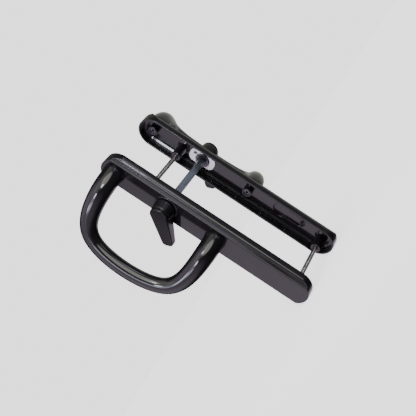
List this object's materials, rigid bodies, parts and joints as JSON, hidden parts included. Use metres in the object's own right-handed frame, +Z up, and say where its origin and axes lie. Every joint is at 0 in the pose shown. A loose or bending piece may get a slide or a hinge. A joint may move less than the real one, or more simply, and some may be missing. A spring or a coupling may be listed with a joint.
{
  "type": "sliding patio door handle set",
  "caption": "Sliding patio door handle set with a cranked D pull and a thumb lever on each long round-ended backplate, joined through the door by bolts and a square spindle.",
  "frame": {"origin": "on the spindle's axis, midway through the thickness of the door that the set clamps", "axes": "+Z up along the backplates, +Y out of the door's rear face, -Y out of its front face, -X towards the side that both pull handles lean to"},
  "size_m": [0.0794, 0.2138, 0.25],
  "materials": {
    "black_paint": "satin black paint over die-cast zinc, smoother on the grips",
    "white_nylon": "natural white nylon",
    "zinc_steel": "zinc-plated drawn steel",
    "bright_steel": "bright plated steel",
    "dark_steel": "dark oiled steel"
  },
  "bodies": {
    "handle_set": {"front_backplate": "black_paint", "rear_backplate": "black_paint", "front_pull_handle": "black_paint", "rear_pull_handle": "black_paint", "front_pull_screws": "dark_steel", "rear_pull_screws": "dark_steel", "front_lever_bearing": "white_nylon", "rear_lever_bearing": "white_nylon", "front_bearing_screw": "dark_steel", "rear_bearing_screw": "dark_steel", "fixing_bolts": "bright_steel"},
    "lever_set": {"front_lever": "black_paint", "rear_lever": "black_paint", "front_spring_washer": "dark_steel", "rear_spring_washer": "dark_steel", "front_drive_collar": "dark_steel", "rear_drive_collar": "dark_steel", "front_circlip": "dark_steel", "rear_circlip": "dark_steel", "spindle": "zinc_steel"}
  },
  "joints": [
    {"name": "lever_turn", "type": "hinge", "parent": "handle_set", "child": "lever_set", "pos_m": [0, 0, 0], "axis": [0, 1, 0], "range_deg": [-61.5, 28.5]}
  ]
}
